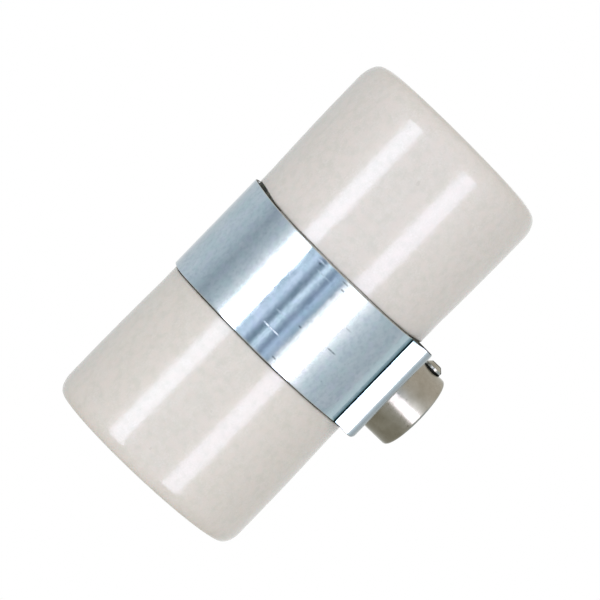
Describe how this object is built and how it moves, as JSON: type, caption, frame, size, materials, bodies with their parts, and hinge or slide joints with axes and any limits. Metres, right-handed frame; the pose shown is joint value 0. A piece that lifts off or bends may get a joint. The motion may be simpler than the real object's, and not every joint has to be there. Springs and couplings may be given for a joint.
{
  "type": "twin lampholder",
  "caption": "Double-ended porcelain screw lampholder held at its waist by a plated strap with a threaded hub and a locking screw.",
  "frame": {"origin": "centre of the hub's end face, the lowest face of the part", "axes": "+X along the common axis of the two sockets, out of the mouth of socket a; +Z from the hub towards the sockets; +Y by the right-hand rule"},
  "size_m": [0.0934, 0.0478, 0.0566],
  "materials": {
    "glazed_porcelain": "warm light grey, clear gloss glaze",
    "zinc_strap": "bright bluish zinc plating on rolled strip",
    "satin_hub": "satin turned steel, warm grey",
    "grub_steel": "bright turned steel, slotted end",
    "shell_brass": "rolled brass sheet",
    "terminal_brass": "sawn and drilled brass",
    "contact_bronze": "springy bronze strip",
    "fastener_steel": "zinc-plated screw steel",
    "fastener_nickel": "nickel-plated steel",
    "pressboard": "brown pressboard"
  },
  "bodies": {
    "lampholder": {"porcelain_socket_a": "glazed_porcelain", "screw_shell_a": "shell_brass", "shell_screw_a1": "fastener_steel", "shell_screw_a2": "fastener_steel", "shell_nut_a": "fastener_nickel", "contact_foot_a": "contact_bronze", "contact_screw_a": "fastener_steel", "terminal_block_neutral_a": "terminal_brass", "terminal_block_live_a": "terminal_brass", "tie_screw_a": "fastener_steel", "tie_nut_a": "fastener_nickel", "porcelain_socket_b": "glazed_porcelain", "screw_shell_b": "shell_brass", "shell_screw_b1": "fastener_steel", "shell_screw_b2": "fastener_steel", "shell_nut_b": "fastener_nickel", "contact_foot_b": "contact_bronze", "contact_screw_b": "fastener_steel", "terminal_block_neutral_b": "terminal_brass", "terminal_block_live_b": "terminal_brass", "tie_screw_b": "fastener_steel", "tie_nut_b": "fastener_nickel", "insulating_disc": "pressboard", "clamp_strap": "zinc_strap", "threaded_hub": "satin_hub"},
    "grub": {"hub_grub_screw": "grub_steel"},
    "clamp_neutral_a": {"clamp_screw_neutral_a": "fastener_nickel"},
    "clamp_live_a": {"clamp_screw_live_a": "fastener_nickel"},
    "tongue_a": {"contact_tongue_a": "contact_bronze"},
    "clamp_neutral_b": {"clamp_screw_neutral_b": "fastener_nickel"},
    "clamp_live_b": {"clamp_screw_live_b": "fastener_nickel"},
    "tongue_b": {"contact_tongue_b": "contact_bronze"}
  },
  "joints": [
    {"name": "grub_screw_travel", "type": "slide", "parent": "lampholder", "child": "grub", "axis": [-1, 0, 0], "range_m": [-0.002, 0.0016]},
    {"name": "clamp_neutral_a_travel", "type": "slide", "parent": "lampholder", "child": "clamp_neutral_a", "axis": [1, 0, 0], "range_m": [-0.0005, 0.0016]},
    {"name": "clamp_live_a_travel", "type": "slide", "parent": "lampholder", "child": "clamp_live_a", "axis": [1, 0, 0], "range_m": [-0.0005, 0.0016]},
    {"name": "contact_a_flex", "type": "hinge", "parent": "lampholder", "child": "tongue_a", "pos_m": [0.01555, 0, 0.0397], "axis": [0, 1, 0], "range_deg": [0, 10], "stiffness_Nm_per_rad": 0.2},
    {"name": "clamp_neutral_b_travel", "type": "slide", "parent": "lampholder", "child": "clamp_neutral_b", "axis": [-1, 0, 0], "range_m": [-0.0005, 0.0016]},
    {"name": "clamp_live_b_travel", "type": "slide", "parent": "lampholder", "child": "clamp_live_b", "axis": [-1, 0, 0], "range_m": [-0.0005, 0.0016]},
    {"name": "contact_b_flex", "type": "hinge", "parent": "lampholder", "child": "tongue_b", "pos_m": [-0.01555, 0, 0.0397], "axis": [0, -1, 0], "range_deg": [0, 10], "stiffness_Nm_per_rad": 0.2}
  ]
}
